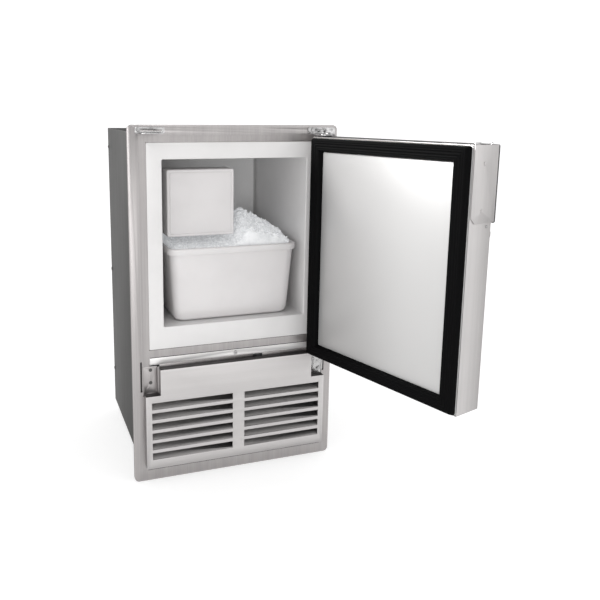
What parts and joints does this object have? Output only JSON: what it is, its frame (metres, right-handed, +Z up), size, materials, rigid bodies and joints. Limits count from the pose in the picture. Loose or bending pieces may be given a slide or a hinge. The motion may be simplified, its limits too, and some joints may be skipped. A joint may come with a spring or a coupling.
{
  "type": "ice maker",
  "caption": "Built-in front-flanged ice maker with side-hung insulated door, pull-out ice bucket, ice-making module and grille-fronted refrigeration deck.",
  "frame": {"origin": "middle of the front flange's underside, at half the flange's thickness", "axes": "+X to the right seen from the front, +Y into the cabinet, +Z up"},
  "size_m": [0.4857, 0.6987, 0.65],
  "materials": {
    "brushed_front": "brushed stainless steel",
    "cabinet_steel": "satin dark stainless steel",
    "door_steel": "brushed stainless steel",
    "door_panel": "satin silver sheet",
    "bright_steel": "polished steel fittings",
    "liner_white": "smooth white plastic",
    "bucket_white": "smooth white plastic",
    "cover_white": "fine satin white plastic",
    "insulation": "closed-cell foam",
    "evaporator": "dull rolled aluminium",
    "aluminium_cast": "cast and finned aluminium",
    "seal_black": "soft black magnetic seal",
    "black_plastic": "moulded black plastic",
    "grey_plastic": "moulded grey plastic",
    "gear_nylon": "natural nylon",
    "black_enamel": "black enamel",
    "copper_line": "drawn copper",
    "heater_sheath": "heat-tinted steel sheath",
    "ice": "clear and white crushed ice"
  },
  "bodies": {
    "cabinet": {"front_flange": "brushed_front", "cabinet_shell": "cabinet_steel", "back_panel": "cabinet_steel", "base_pan": "cabinet_steel", "machine_deck": "cabinet_steel", "liner": "liner_white", "foam_insulation": "insulation", "evaporator_plate": "evaporator", "lower_rail": "brushed_front", "rail_screw": "bright_steel", "rocker_bezel": "black_plastic", "grille_panel": "brushed_front", "hinge_top_bracket": "bright_steel", "hinge_top_pin": "bright_steel", "hinge_top_screw": "bright_steel", "hinge_bottom_bracket": "bright_steel", "hinge_bottom_pin": "bright_steel", "hinge_bottom_screw": "bright_steel", "latch_keeper": "bright_steel", "keeper_screw": "bright_steel", "hinge_blank_plate": "brushed_front", "blank_screw_lower": "bright_steel", "blank_screw_upper": "bright_steel", "levelling_foot_front_left": "black_plastic", "levelling_foot_rear_left": "black_plastic", "levelling_foot_front_right": "black_plastic", "levelling_foot_rear_right": "black_plastic", "compressor": "black_enamel", "discharge_tube": "copper_line", "suction_tube": "copper_line", "condenser": "aluminium_cast", "fan_shroud": "black_plastic", "fan_motor": "black_enamel", "drain_pan": "grey_plastic", "water_valve": "grey_plastic", "fill_tube": "gear_nylon", "cord_gland": "black_plastic", "icemaker_cover": "cover_white", "icemaker_housing": "grey_plastic", "icemaker_motor": "aluminium_cast", "ice_mould": "aluminium_cast", "mould_heater": "heater_sheath", "stripper": "grey_plastic", "fill_cup": "grey_plastic"},
    "door": {"door_outer_shell": "door_steel", "door_foam": "insulation", "door_inner_panel": "door_panel", "door_gasket": "seal_black", "hinge_bush_top": "black_plastic", "hinge_bush_bottom": "black_plastic", "pull_plate": "door_steel", "pull_grip": "black_plastic"},
    "latch": {"latch_bolt": "bright_steel"},
    "bucket": {"ice_bucket": "bucket_white"},
    "ejector": {"ejector": "grey_plastic", "drive_gear": "gear_nylon"},
    "pinion": {"motor_pinion": "gear_nylon"},
    "bail": {"bail_arm": "bright_steel"},
    "fan": {"fan_blade": "black_plastic"},
    "rocker": {"power_rocker": "black_plastic"}
  },
  "joints": [
    {"name": "door_swing", "type": "hinge", "parent": "cabinet", "child": "door", "pos_m": [0.16, -0.0337, 0.425], "axis": [0, 0, 1], "range_deg": [-106.45, 18.55]},
    {"name": "latch_slide", "type": "slide", "parent": "door", "child": "latch", "axis": [0, 0, 1], "range_m": [-0.002, 0.005]},
    {"name": "bucket_slide", "type": "slide", "parent": "cabinet", "child": "bucket", "axis": [0, -1, 0], "range_m": [0, 0.26]},
    {"name": "ejector_spin", "type": "hinge", "parent": "cabinet", "child": "ejector", "pos_m": [-0.06, 0.15, 0.5005], "axis": [0, 1, 0], "continuous": true},
    {"name": "pinion_spin", "type": "hinge", "parent": "cabinet", "child": "pinion", "pos_m": [-0.06, 0.08, 0.5305], "axis": [0, 1, 0], "continuous": true},
    {"name": "bail_arm_swing", "type": "hinge", "parent": "cabinet", "child": "bail", "pos_m": [-0.098, 0.1013, 0.505], "axis": [1, 0, 0], "range_deg": [0, 30]},
    {"name": "fan_spin", "type": "hinge", "parent": "cabinet", "child": "fan", "pos_m": [-0.0942, 0.058, 0.1172], "axis": [0, 1, 0], "continuous": true},
    {"name": "power_rocker_tilt", "type": "hinge", "parent": "cabinet", "child": "rocker", "pos_m": [0.044, 0.0045, 0.2145], "axis": [0, 0, 1], "range_deg": [-16, 0]}
  ],
  "couplings": [
    {"joint": "pinion_spin", "follows": "ejector_spin", "ratio": -3}
  ]
}
